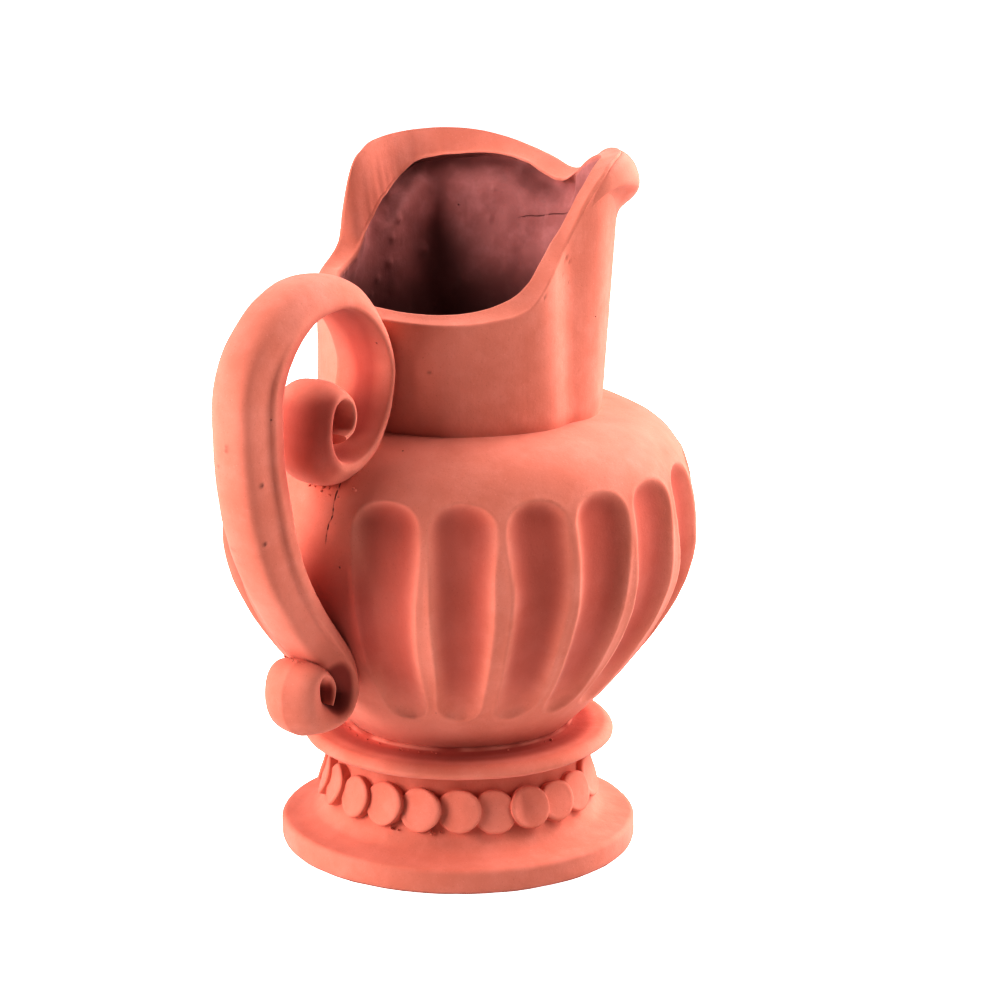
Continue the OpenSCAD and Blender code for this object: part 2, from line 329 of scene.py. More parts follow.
def terracotta(name, streaks=0.0, seed=0.0):
    material = bpy.data.materials.new(name)
    material.use_nodes = True
    nodes, links = material.node_tree.nodes, material.node_tree.links
    shader = nodes["Principled BSDF"]
    place = nodes.new("ShaderNodeTexCoord").outputs["Object"]

    def shifted(scale=(1, 1, 1)):
        m = nodes.new("ShaderNodeMapping")
        m.inputs["Location"].default_value = (seed, seed * 0.7, seed * 0.3)
        m.inputs["Scale"].default_value = scale
        links.new(place, m.inputs["Vector"])
        return m.outputs[0]

    def texture(scale, detail=2.0, rough=0.5, stretch=(1, 1, 1)):
        t = nodes.new("ShaderNodeTexNoise")
        t.inputs["Scale"].default_value = scale
        t.inputs["Detail"].default_value = detail
        t.inputs["Roughness"].default_value = rough
        links.new(shifted(stretch), t.inputs["Vector"])
        return t.outputs["Fac"]

    def mapped(value, low, high, to_low=0.0, to_high=1.0):
        r = nodes.new("ShaderNodeMapRange")
        r.interpolation_type = "SMOOTHSTEP"
        for key, v in (("From Min", low), ("From Max", high), ("To Min", to_low), ("To Max", to_high)):
            r.inputs[key].default_value = v
        links.new(value, r.inputs["Value"])
        return r.outputs["Result"]

    def blend(share, a, b):
        m = nodes.new("ShaderNodeMix")
        m.data_type = "RGBA"
        for socket, v in ((m.inputs["Factor"], share), (m.inputs[6], a), (m.inputs[7], b)):
            if isinstance(v, tuple):
                socket.default_value = (*v, 1)
            else:
                links.new(v, socket)
        return m.outputs[2]

    def maths(operation, a, b):
        m = nodes.new("ShaderNodeMath")
        m.operation = operation
        for socket, v in zip(m.inputs, (a, b)):
            if isinstance(v, float):
                socket.default_value = v
            else:
                links.new(v, socket)
        return m.outputs[0]

    def relief(height, strength, distance, below=None):
        b = nodes.new("ShaderNodeBump")
        b.inputs["Strength"].default_value = strength
        b.inputs["Distance"].default_value = distance
        links.new(height, b.inputs["Height"])
        if below is not None:
            links.new(below, b.inputs["Normal"])
        return b.outputs["Normal"]

    def mark(key):
        a = nodes.new("ShaderNodeAttribute")
        a.attribute_name = key
        return a.outputs["Fac"]

    # Fired red clay: broad mottling, paler dusty patches, fine dark and pale grains
    broad = mapped(texture(17.0, 3.0, 0.6), 0.35, 0.68)
    cloud = mapped(texture(75.0, 4.0, 0.65), 0.40, 0.72)
    grain = texture(1300.0, 3.0, 0.7)
    clay = blend(broad, (0.700, 0.273, 0.200), (0.780, 0.329, 0.253))
    clay = blend(maths("MULTIPLY", cloud, 0.30), clay, (0.820, 0.381, 0.312))
    clay = blend(mapped(grain, 0.60, 0.75, 0.0, 0.35), clay, (0.880, 0.485, 0.414))
    clay = blend(mapped(grain, 0.40, 0.27, 0.0, 0.40), clay, (0.520, 0.173, 0.120))
    # The inside is browner and duller than the outside.
    clay = blend(mark("inside"), clay, blend(cloud, (0.500, 0.219, 0.206), (0.580, 0.277, 0.266)))
    # Pinholes, in few of the cells, darkened with painted shade; then the painted shade of pits and the dark
    # of cracks
    cells = nodes.new("ShaderNodeTexVoronoi")
    cells.inputs["Scale"].default_value = 95
    links.new(shifted(), cells.inputs["Vector"])
    few = nodes.new("ShaderNodeSeparateColor")
    links.new(cells.outputs["Color"], few.inputs[0])
    near_middle = mapped(cells.outputs["Distance"], 0.055, 0.03)
    pin = maths("MULTIPLY", near_middle, mapped(few.outputs[0], 0.86, 0.87))
    clay = blend(maths("MULTIPLY", pin, 0.55), clay, (0.24, 0.045, 0.03))
    # Painted shade: this mark turns the clay deep red in the flutes, under the body, and behind and inside
    # the handle, where shade falls.
    clay = blend(mark("painted_shade_red"), clay, (0.40, 0.032, 0.022))
    # Painted shade: this mark darkens pits, the foot's lowest edge, the recess under the neck's ledge, the
    # throat and the eye of the curl.
    clay = blend(mark("painted_shade"), clay, (0.11, 0.018, 0.012))
    # Hairline cracks: "line" is the distance from the line in mm, "line_here" how much of it is there.
    crack = mapped(maths("ABSOLUTE", mark("line"), 0.0), 0.42, 0.12)
    broken = mapped(texture(330.0, 1.0), 0.40, 0.52, 0.25)
    crack = maths("MULTIPLY", maths("MULTIPLY", crack, mark("line_here")), broken)
    clay = blend(crack, clay, (0.13, 0.022, 0.016))
    clay = blend(mark("pale"), clay, (0.92, 0.52, 0.42))
    links.new(clay, shader.inputs["Base Color"])

    skin = relief(texture(420.0, 3.0, 0.6), 0.25, 0.0004)
    skin = relief(grain, 0.30, 0.00022, skin)
    if streaks:
        skin = relief(texture(260.0, 2.0, 0.5, (1, 1, 0.05)), streaks, 0.0005, skin)
    skin = relief(maths("MULTIPLY", maths("MAXIMUM", pin, crack), -1.0), 1.0, 0.0006, skin)
    links.new(skin, shader.inputs["Normal"])
    links.new(mapped(texture(60.0, 3.0, 0.6), 0.3, 0.7, 0.62, 0.82), shader.inputs["Roughness"])
    shader.inputs["Specular IOR Level"].default_value = 0.35
    # A dusty bloom towards the edges
    shader.inputs["Sheen Weight"].default_value = 0.22
    shader.inputs["Sheen Roughness"].default_value = 0.55
    shader.inputs["Sheen Tint"].default_value = (1, 0.80, 0.76, 1)
    return material


# Foot and collar

STEM_R, WAIST_R = 61.4, 53.8
LEAN = math.atan((STEM_R - WAIST_R) / 24.5)
BUTTON_Z = 32.0


def turned(profile, columns, seed, **how):
    a = np.arange(columns) * 360.0 / columns
    points = polar(profile[:, :1], a[None, :], profile[:, 1:])
    return handmade(points, True, seed=seed, **how)


def make_foot_plate(material):
    profile = rounded([(50, 0, 0.5), (79.5, 0, 0.3), (80.5, 0.9, 0.5), (81, 2.4, 1), (80.9, 10.3, 0.9),
                       (79.6, 11.6, 1.1), (72, 12.5, 3), (66, 14.4, 3), (62.9, 17.4, 3), (61.1, 22.5, 1),
                       (50, 22.5, 0.3)], 0.7)
    points = turned(profile, 420, 11, wobble=0.0, dents=0.12, fine=0.06)
    # The edge rises and falls a little and the top is not quite flat, but the underside lies on the floor.
    share = smooth((points[..., 2] - 3) / 6) * smooth((np.hypot(points[..., 0], points[..., 1]) - 64) / 8)
    points[..., 2] += share * 0.55 * noise(points, 33, 14)
    points[..., 2] = np.maximum(points[..., 2], 0)
    # Painted shadow along the lowest millimetre, where the foot meets the floor
    grid_piece("foot_plate_clay", points, material, ["foot_plate"], wrap_rows=True,
               marks={"painted_shade": 0.75 * smooth((1.0 - points[..., 2]) / 0.6)})


def make_stem(material):
    profile = rounded([(50, 21.3, 0.3), (62.1, 20.4, 0.3), (61.1, 22.6, 1.5), (53.9, 45.6, 1.5),
                       (55.1, 48.8, 0.5), (46, 48.6, 0.3)], 1.0)
    points = turned(profile, 300, 21, wobble=0.15, dents=0.15, fine=0.06)
    grid_piece("foot_stem_clay", points, material, ["foot_stem"], wrap_rows=True)


def make_collar(material):
    profile = rounded([(30, 48.5, 0.5), (54, 48.5, 4), (67, 48.2, 5), (71.7, 51.6, 3.2), (68.2, 55.7, 3.4),
                       (61, 55.2, 5), (53.9, 55.3, 1.2), (52.7, 56.0, 0.6), (52.0, 57.6, 0.5),
                       (49.9, 58.5, 0.4), (47.5, 55.5, 0.3), (30, 55.5, 0.5)], 0.7)
    points = turned(profile, 420, 31, wobble=0.30, dents=0.12, fine=0.05)
    r = np.hypot(points[..., 0], points[..., 1])
    points[..., 2] += 0.5 * noise(points, 45, 34) * smooth((r - 60) / 8)
    seam = smooth((points[..., 2] - 56.5) / 0.7) * (r > 49)
    # Pale slip along the seam; and painted shadow: the top close to the body is deep red, under the body's
    # overhang.
    marks = {"pale": 0.5 * seam * smooth(noise(points, 7, 35) + 0.75),
             "painted_shade_red": 0.6 * smooth((64 - r) / 7) * (points[..., 2] > 53)}
    grid_piece("collar_clay", points, material, ["collar_ring"], wrap_rows=True, marks=marks)


# Per button: how far its left and its right edge are lifted by a neighbour, its dish, its change of radius
# and of height, and how many degrees it is out of its even place
BUTTON_WAYS = {9: (0.0, 2.8, 0.2, 0.0, -1.0, -1.1), 10: (0.0, 2.4, 0.1, -0.1, -1.5, -0.5),
               11: (0.0, 3.4, 0.3, 0.3, -0.8, -0.6), 12: (0.0, 3.4, 0.2, 0.1, -1.1, -0.1),
               13: (0.0, 3.3, 0.25, 0.0, -0.9, 0.0), 14: (0.0, 0.0, 0.1, 0.2, -1.9, -1.0),
               15: (2.2, 2.4, 1.4, -0.3, -1.9, -1.7), 16: (0.0, 1.8, 0.8, -0.5, -2.1, -3.1),
               17: (0.0, 1.6, 0.3, -0.3, -1.9, -5.2), 18: (0.0, 1.6, 0.3, 0.0, -0.8, -3.6),
               19: (0.0, 1.9, 0.4, 0.0, -0.6, -2.2), 20: (0.0, 2.0, 0.3, 0.0, -0.9, -1.0)}
BUTTONS = 22
BUTTON_OFFSET = 3.3


def make_button(i, material):
    rnd = np.random.RandomState(500 + i)
    left, right, dish, grow, rise, turn = BUTTON_WAYS.get(
        i, (0.0, rnd.uniform(1.6, 2.4), rnd.uniform(0.1, 0.8), rnd.uniform(-0.3, 0.3),
            rnd.uniform(-1.5, -0.3),
            rnd.uniform(-0.4, 0.4)))
    middle = i * 360.0 / BUTTONS + BUTTON_OFFSET + turn
    radius, thick = 9.8 + grow, 3.2
    edge = 0.9
    # From the middle of the face out, round the edge and down the side: (distance from the middle, height)
    section = [((radius - edge) * t, thick) for t in np.linspace(0.04, 1, 14)]
    section += [(radius - edge + edge * math.sin(t), thick - edge + edge * math.cos(t))
                for t in np.linspace(0.3, math.pi / 2, 5)]
    section += [(radius - 0.05 * k, thick - edge - k * 0.75) for k in range(1, 5)]
    section += [(radius - 2, -1.2)]
    p, n = (np.array(v)[:, None] for v in zip(*section))
    t = np.radians(np.arange(0, 360, 5))[None, :]
    spot = rnd.uniform(-2, 2, 2)
    wave = 1 + 0.018 * np.sin(2 * t + rnd.uniform(0, 6)) + 0.012 * np.sin(3 * t + rnd.uniform(0, 6))
    u, v = p * wave * np.cos(t), p * wave * np.sin(t)
    face = smooth((n - 1.0) / 1.2)
    lift = right * (smooth((u + 7) / 16) - 0.2) + left * smooth((-u - 2.0) / 7.5)
    hollow = dish * face * (1 - smooth(np.hypot(u - spot[0], v - spot[1]) / (radius * 0.95)))
    # The pressed face is slightly proud just inside its edge.
    rim = 0.22 * face * bump(np.hypot(u, v) - (radius - 1.6), 0.8)
    h = n + lift * smooth((n + 1) / 1.5) - hollow + rim
    up = BUTTON_Z + rise
    r0 = STEM_R - (up + v * math.cos(LEAN) - 21.5) * math.tan(LEAN)
    a = middle + np.degrees(u / (r0 + 1))
    points = polar(r0 + h * math.cos(LEAN), a, up + v * math.cos(LEAN) + h * math.sin(LEAN))
    points = handmade(points, False, wobble=0.0, dents=0.14, fine=0.07, seed=510 + i)
    grid_piece("button_clay_%02d" % (i + 1), points[::-1], material, ["button_%02d" % (i + 1)])


# Body

BODY_WALL, BODY_BASE_Z = 8, 55.5
BODY_FLOOR_Z = BODY_BASE_Z + BODY_WALL
LOWER = [(48, BODY_BASE_Z), (66, 73), (107, 112), (107, 147)]
UPPER = [(107, 147), (107, 178), (98, 200), (63.5, 203)]
SHOULDER_Z, NECK_R = 203.0, 63.5
OUTLINE = np.vstack([bezier(LOWER, np.linspace(0, 1, 200))[:-1], bezier(UPPER, np.linspace(0, 1, 200))])


def wall_r(z):
    return np.where(z >= SHOULDER_Z, NECK_R, np.interp(z, OUTLINE[:, 1], OUTLINE[:, 0]))


# Middle, width and depth as shares of the usual, and shifts of top and bottom, of the flutes the camera sees
FLUTE_WAYS = {
    1: (198.5, 1.03, 1.00, 0.0, 0.0), 2: (216.8, 1.03, 1.05, 0.0, 0.0), 3: (235.2, 1.0, 1.0, 0.0, 0.0),
    4: (252.0, 0.98, 1.0, 0.0, 0.0), 5: (269.6, 0.98, 1.0, 0.0, 0.0)}
# (height, half of a flute's width in degrees)
FLUTE_WIDTHS = [(70, 6.5), (85, 6.8), (110, 6.7), (135, 6.9), (152, 7.3), (168, 7.75), (190, 7.8)]
FLUTE_DEPTH = 6.3
FLUTE_TOP, FLUTE_TOP_ARC = 183, 11.5
FLUTE_BOTTOM, FLUTE_BOTTOM_ARC = 77, 9
FLUTE_PITCH, FLUTES = 18, 19


def flute_depth(a, z):
    total = np.zeros(np.broadcast(a, z).shape)
    for k in range(1, FLUTES + 1):
        rnd = np.random.RandomState(700 + k)
        middle, wide, deep, top, bottom = FLUTE_WAYS.get(
            k, (180 + FLUTE_PITCH * k + rnd.uniform(-0.7, 0.7), rnd.uniform(0.96, 1.0), rnd.uniform(0.9, 1.1),
                rnd.uniform(-1.5, 1.5), rnd.uniform(-2, 2)))
        sway = rnd.uniform(0, 6.28, 3)
        off = (a - middle + 180) % 360 - 180
        off = off - 0.22 * np.sin(z / 17 + sway[0]) - 0.12 * np.sin(z / 7 + sway[1])
        up = np.clip((z - FLUTE_TOP - top) / FLUTE_TOP_ARC + 1, 0, None)
        down = np.clip((FLUTE_BOTTOM + bottom - z) / FLUTE_BOTTOM_ARC + 1, 0, None)
        edge = 0.36 * np.sin(z / 10.5 + sway[2] + 2.1 * (off > 0)) * smooth((178 - z) / 20)
        u = np.abs(off) / (wide * spline(z, FLUTE_WIDTHS) + edge)
        u = (u ** 2.3 + np.maximum(up, down) ** 2.3) ** (1 / 2.3)
        scoop = np.clip(1 - u ** 2.5, 0, 1) * (0.62 + 0.38 * smooth((z - 76) / 40))
        lip = 0.8 * bump(u - 1.07, 0.09)
        total += FLUTE_DEPTH * (deep * scoop - 0.06 * lip)
    return total


def make_body(material):
    outer = evenly(OUTLINE, 1.25)
    along = np.gradient(OUTLINE, axis=0)
    along /= np.linalg.norm(along, axis=1, keepdims=True)
    inner = (OUTLINE + BODY_WALL * np.stack([-along[:, 1], along[:, 0]], 1))[12:-12]
    inner = inner[inner[:, 1] < 196][::-1]
    floor = [[r, BODY_FLOOR_Z] for r in (40, 20, 0.6)]
    inner = evenly(np.vstack([[55.2, 203.2], [55.2, 196.5], inner, floor]), 5.5)
    profile = np.vstack([[[r, BODY_BASE_Z] for r in (0.6, 20, 38)], outer, inner])
    # Columns are closer together along the flutes' edges.
    off = (np.arange(0, 360, 0.05) + FLUTE_PITCH / 2) % FLUTE_PITCH - FLUTE_PITCH / 2
    fine = 1 + 1.5 * bump(np.abs(off) - 7.4, 1.2)
    run = np.concatenate([[0], np.cumsum(fine)])
    a = np.interp(np.linspace(0, run[-1], 470, endpoint=False), run, np.arange(len(run)) * 0.05)[None, :]
    is_outer = np.zeros(len(profile))
    is_outer[3:3 + len(outer)] = 1
    is_outer = is_outer[:, None]
    r, z = profile[:, :1], profile[:, 1:]
    points = polar(r - flute_depth(a, z) * is_outer, a, z)
    points = handmade(points, False, wobble=0.55, dents=0.13, fine=0.05, seed=71)
    # A hairline crack below the handle's scroll
    line = (a - 183.9 - 0.6 * smooth((z - 171) / 4) - 0.15 * np.sin(z / 2.7)) * np.radians(r)
    # Painted shade: the clay turns deep red in the flutes, by their depth, and behind the strap where its
    # shadow falls.
    painted_shade_red = 0.42 * smooth(flute_depth(a, z) / (0.9 * FLUTE_DEPTH)) * smooth((z - 74) / 30)
    behind_strap = smooth((15 - np.abs(a - 186)) / 9) * smooth((z - 90) / 30) * smooth((172 - z) / 34)
    by_height = smooth((193 - z) / 3) * smooth((z - 162) / 5)
    marks = {"inside": np.broadcast_to(1 - is_outer, points.shape[:2]).copy(),
             "painted_shade_red": np.maximum(painted_shade_red, 0.6 * behind_strap) * is_outer, "line": np.clip(line, -6, 6),
             "line_here": 0.8 * by_height * is_outer * (np.abs(a - 184) < 6)}
    grid_piece("body_clay", points, material, ["body"], marks=marks)


# Neck

# Heights of the cut rim's outer and inner edge, by angle from the handle. Angles above 0 are on the camera's
# side. These are a scratch script's output: it turned the rim's outline in the photo into angles and
# heights.
RIM_OUT = [(-170, 310.3), (-161, 313.3), (-152, 315.4), (-144, 316.4), (-135, 316.6), (-126, 316),
           (-117, 315), (-108.4, 313.8), (-103, 312.8), (-97.5, 310), (-94, 307.6), (-91.5, 304),
           (-88.7, 298), (-87, 292), (-85.2, 283.5), (-83.5, 274.2), (-81, 269.6), (-77, 266.2), (-70, 263.2),
           (-61, 260.9), (-45, 257), (-25, 254), (0, 253.2), (14, 252.6), (31, 252.3), (42, 253),
           (52.5, 254.6), (60, 256.2), (65, 259), (69.2, 263.7), (75.2, 270.9), (83.5, 277.9), (90, 284.6),
           (95, 291.5), (99, 298.6), (103, 305), (110, 313.0), (118, 316.8), (128, 317.5), (140, 316),
           (149, 313.2), (157, 307.4), (164, 302.8), (171, 302.8), (176, 305)]
RIM_IN = [(-174.4, 304.0), (-165, 306.4), (-154.6, 307.3), (-144, 306.6), (-134, 305.7), (-125.3, 303.6),
          (-118.7, 299), (-110.7, 293), (-101.6, 286.6), (-95.6, 280.6), (-89.2, 274.6), (-83, 267.6),
          (-76, 263.8), (-60, 261.5), (-45, 259.3), (-20, 256.2), (0, 255.4), (12, 254.9), (30, 255.0),
          (43, 256.6), (52.4, 258.8), (62.7, 262.9), (68.8, 267.8), (75, 274.6), (85, 282.1), (94.6, 289.4),
          (100, 296.2), (104, 302.6), (110, 309.6), (118, 314.4), (128, 315), (140, 313.2), (149, 309.4),
          (157, 303.6), (164, 299), (176, 299.6)]


RIM_WIDTH, NECK_WALL = 10.0, 8.5


def rim_z(s):
    return spline(s, RIM_OUT, period=360)


def neck_out(s, z):
    s, z = np.broadcast_arrays(s, z)
    b = np.abs(s)
    h = np.clip((z - SHOULDER_Z) / 114, 0, 1)
    near = np.where(s > 0, 1.0, 0.22)
    groove = 7.0 * (0.30 + 0.70 * h) * bump(b - 88, 8 + 5 * h) * near
    ridges = (0.9 * h * bump(b - 69, 8) + 1.1 * (0.3 + 0.7 * h) * bump(b - 107, 6.5)) * near
    return NECK_R + 7.5 * h * smooth((b - 96) / 30) - groove + ridges


def make_neck(material):
    n = 440
    a = (np.arange(n) * 360.0 / n)[None, :]
    s = a - 180
    outer_z = rim_z(s)
    inner_z = spline(s, RIM_IN, period=360)
    edge = 1.4
    turn = (s + 360) % 360
    # The far side of the mouth is cut at a slant
    slant = smooth((turn - 188) / 14) * smooth((276 - turn) / 10)
    ledge = smooth((turn - 156) / 8) * smooth((272 - turn) / 12)    # and its inner edge hangs over
    width = RIM_WIDTH - 2.4 * bump(s - 88, 12) - 0.6 * slant
    torn = 0.9 * noise(polar(60, a, 0)[0][None], 7, 47) + 0.5 * noise(polar(60, a, 0)[0][None], 2.6, 48)
    under = ledge * (4.6 + 0.5 * torn)
    width = width + 0.8 * torn * ledge
    rows, inside = [], []

    def row(r, z, is_inside=0.0):
        rows.append(polar(r, a, z)[0])
        inside.append(np.broadcast_to(is_inside, (1, n))[0])

    # The neck's lower edge is rounded in, and slip fills part of the joint: (rounding, slip, z)
    slip = 0.27 + 0.2 * np.sin(np.radians(3 * s + 40)) + 0.08 * np.sin(np.radians(11 * s))
    for tuck, fill, z in ((1.1, 3.2, 201.2), (1.1, 2.3, 202.5), (0.95, 1.4, 203.4), (0.6, 0.7, 204.5),
                          (0.25, 0.25, 205.9), (0.05, 0.05, 207.8)):
        row(neck_out(s, z) - tuck + fill * slip, z)
    outer_top = outer_z - edge
    for t in np.linspace(0, 1, 100):
        z = 209.5 + t * (outer_top - 209.5)
        row(neck_out(s, z), z)
    out = neck_out(s, outer_z)
    for t in (22, 45, 68, 90):
        c, q = math.cos(math.radians(t)), math.sin(math.radians(t))
        row(out - edge + edge * c, outer_z - edge + edge * q)
    for t in np.linspace(0, 1, 12)[1:-1]:
        sag = 0.30 * np.sin(np.pi * t)
        row(out - edge - t * (width - 2 * edge), outer_z * (1 - t) + inner_z * t - sag)
    for t in (90, 68, 45, 22, 0):
        c, q = math.cos(math.radians(t)), math.sin(math.radians(t))
        row(out - width + edge - edge * c, inner_z - edge + edge * q, 0.15 * (90 - t) / 90)
    for t in (0.15, 0.35, 0.6, 1.0):
        row(out - width + under * math.sin(t * math.pi / 2), inner_z - edge - 1.6 * t, 0.3 + 0.5 * t)
    wall_top = width - under
    inner_top = inner_z - edge - 2
    for t in np.linspace(0, 1, 82):
        z = inner_top + t ** 1.15 * (195 - inner_top)
        h = np.clip((z - SHOULDER_Z) / (inner_top - SHOULDER_Z), 0, 1)
        wall = wall_top + (NECK_WALL - wall_top) * smooth((inner_top - z - 2) / 9)
        # The pinch on the far side pushes two bulges into the mouth, with a valley between them.
        ease = smooth((inner_top - z) / 14) * smooth(h / 0.35)
        valley = 4.6 * bump(s + 135, 5 + 7 * (1 - h)) * smooth((inner_top - z) / 5) * smooth(h / 0.3)
        valley = np.minimum(valley, np.maximum(wall - 3.6, 0))
        bulge = 4.2 * ease * (bump(s + 112, 12) + 0.9 * bump(turn - 197, 20)) - valley
        row(neck_out(s, z) - wall - bulge, z, 1.0)
    row(np.full((1, n), 58.0), np.full((1, n), 195.0), 1.0)
    row(np.full((1, n), 62.0), np.full((1, n), 199.0), 0.0)
    points, inside = np.array(rows), np.array(inside)
    points = handmade(points, True, wobble=0.45, dents=0.12, fine=0.05, seed=41)
    normal = grid_normals(points, True)
    # Lumps and pimples on the inner wall
    lumps = 0.8 * noise(points, 15, 44) + 0.35 * noise(points, 6, 45)
    points += normal * (lumps * np.where(inside > 0.9, 1, 0))[..., None]
    rnd = np.random.RandomState(46)
    pimples = [(-113.7, 278, 1.5, 0.8), (-109.1, 270, 1.2, 0.7), (-106.1, 259, 1.6, 0.8),
               (-137, 276, 1.2, 0.7), (-157.6, 276.5, 1.3, 0.6), (-127.3, 262, 2.6, 2.2),
               (-100, 252, 1.3, 0.7), (-96, 245, 1.2, 0.7)]
    pimples += [(rnd.uniform(-165, 60), rnd.uniform(240, 296), rnd.uniform(0.8, 1.5), rnd.uniform(0.3, 0.7))
                for _ in range(26)]

    def on_wall(at, z):
        column = int(round((at + 180) % 360 * n / 360)) % n
        return points[np.argmin(np.abs(points[:, column, 2] - z) + 1000 * (inside[:, column] < 0.9)), column]

    spots = [(on_wall(at, z), size, -high) for at, z, size, high in pimples]
    # Nicks in the pinch under the rim, and a pit in the front, with painted shade in them
    nicks = [(88.3, 276.4, 0.9, 0.6), (90, 274.2, 0.6, 0.4), (86.9, 275, 0.55, 0.3), (85, 269.5, 0.5, 0.25),
             (89, 265.3, 0.45, 0.2), (71, 262.2, 0.7, 0.5), (24.2, 231.3, 0.7, 0.4)]
    spots += [(polar(neck_out(at, z), at + 180, z), size, deep) for at, z, size, deep in nicks]
    points, painted_shade = pitted(points, spots, True)
    # A crack runs round the inside, behind the rolled lip.
    z = points[..., 2]
    line = z - 279.6 - 0.2 * (180 - turn) - 0.3 * np.sin(np.radians(9 * a)) - 0.2 * np.sin(np.radians(31 * a))
    line = np.clip(line, -6, 6)
    # Painted shadow under the ledge
    shade = 0.55 * bump(inner_z - z - 5, 3.0 + 3.5 * smooth((200 - turn) / 16)) * smooth((turn - 164) / 10)
    shade = shade * smooth((262 - turn) / 14) * (inside > 0.3) * smooth(0.8 + noise(points, 9, 49))
    # and painted shade deep in the throat: darker towards the bottom, and down the valley between the bulges
    deep = np.maximum(smooth((264 - z) / 26), smooth((282 - z) / 22) * bump(s + 135, 15))
    deep = 0.6 * deep * (inside > 0.9)
    painted_shade = np.maximum(0.5 * painted_shade, np.maximum(shade, deep))
    here = 0.5 * (inside > 0.9) * smooth((turn - 160) / 6) * smooth((190 - turn) / 6)
    grid_piece("neck_clay", points, material, ["neck"], wrap_rows=True,
               marks={"inside": inside, "painted_shade": painted_shade, "line": line, "line_here": here})


def make_lip_roll(material):
    a = np.linspace(-82, 82, 260)
    s = np.where(a < 0, a + 180, a - 180)[:, None]
    far = s < 0
    # Round the section, from the rim's top out, down and back into the wall: (outwards, down from the rim)
    section = through([(-2.2, 1.9), (-0.9, 0.9), (1.2, 1.2), (3.9, 2.9), (6.6, 6.0), (8.5, 10.0), (9.3, 14),
                       (9.2, 18.2), (7.3, 22.4), (3.8, 25.6), (1.4, 28.6), (0.2, 33), (-2.2, 35)], 5)
    d, down = section[:, 0][None, :], section[:, 1][None, :]
    # It grows out of the rim on both sides, later below than above.
    late = np.where(far, 0, 7) * smooth((down - 12) / 12)
    fade = smooth((np.abs(s) - np.where(far, 124, 97) - late) / 30)
    top = rim_z(s)
    slope = (top - spline(s, RIM_IN, period=360)) / 10
    z = top - down * (0.35 + 0.65 * fade) - np.maximum(-d, 0) * slope * (down < 2) - 1.5 * (1 - fade)
    points = polar(neck_out(s, z) + np.where(d > 0, d * fade - 0.6 * (1 - fade), d), a[:, None], z)
    back = polar(neck_out(s, top - 20) - 2.6, a[:, None], top - 18)
    points = np.concatenate([points, back], 1)
    points = handmade(points, False, wobble=0.5, dents=0.16, fine=0.05, seed=41)
    # A pit, with painted shade in it
    points, painted_shade = pitted(points, [(polar(78.2, 313, 299), 0.8, 0.5)])
    grid_piece("lip_roll_clay", points, material, ["lip_roll"], marks={"painted_shade": painted_shade})


# Handle

# Places along it, as (distance from the pitcher's axis, height, thickness)
JOIN = (139.7, 170, 16)
JOIN_DIRECTION = (0.32, 0.95)
SCROLL = [JOIN, (144.6, 187.5, 16.5), (147.7, 204, 16), (148.9, 220, 16.3), (148.6, 234, 16.2),
          (145.2, 244.5, 15.7), (138.6, 253.6, 14.8), (129.5, 261.8, 13.5), (119.2, 267, 12.2),
          (108, 269, 10.8), (97, 268.2, 9.5), (86, 263.7, 9), (76.5, 255, 8), (70, 244, 6.5),
          (67.3, 233, 5.5), (68.8, 221.5, 5.5), (73.5, 209.5, 6.5), (81.5, 199.5, 7.5), (92, 194.5, 8),
          (102.5, 195, 8), (109.5, 200, 7), (112.5, 208, 5.5), (111.8, 217.5, 4.5), (108.5, 225, 4.5),
          (102, 228, 4.5), (95.5, 224.5, 4.2), (92.8, 217.5, 4), (95, 211, 4), (100.5, 208.3, 4)]
STRAP = [(110, 93, 1.6), (108.4, 96.5, 3), (107.9, 101, 4.3), (110.6, 105.8, 6), (115.8, 108.6, 9),
         (120.8, 104.8, 15), (121.8, 97, 17.5), (119, 90, 17), (112, 85.4, 14), (104, 84, 10),
         (96.8, 86.5, 8.5), (92.2, 93.5, 8.2), (93.8, 101.5, 9.3), (100, 110.5, 10.5), (108, 119.8, 11.5),
         (117.3, 130.7, 12), (126.4, 143.5, 12.5), (134, 156.5, 14), JOIN]

# Round the strap's section, as shares of half its width, of half its thickness and of its crown: the far
# side from the crown to the middle of the inner face, then the near side back from there. The near side is
# waisted over a thin lip.
STRAP_FAR = [(0, 1, 1), (0.22, 1, 0.965), (0.45, 1, 0.86), (0.62, 1, 0.66), (0.76, 1, 0.34),
             (0.85, 0.95, 0.1), (0.92, 0.8, 0), (0.955, 0.6, 0), (0.975, 0.35, 0), (0.985, 0, 0),
             (0.985, -0.4, 0), (0.985, -0.72, 0), (0.955, -0.9, 0), (0.88, -0.985, 0), (0.7, -0.99, 0),
             (0.45, -0.97, 0), (0.2, -0.95, 0), (0, -0.945, 0)]
STRAP_NEAR = [(-0.3, -0.96, 0), (-0.6, -0.985, 0), (-0.82, -0.99, 0), (-0.93, -0.95, 0), (-0.98, -0.84, 0),
              (-1, -0.66, 0), (-1, -0.42, 0), (-0.985, -0.24, 0), (-0.94, -0.13, 0), (-0.875, -0.04, 0),
              (-0.83, 0.14, 0), (-0.805, 0.38, 0), (-0.78, 0.62, 0), (-0.735, 0.84, 0.12),
              (-0.67, 0.96, 0.42), (-0.57, 1, 0.7), (-0.41, 1, 0.9), (-0.2, 1, 0.98)]
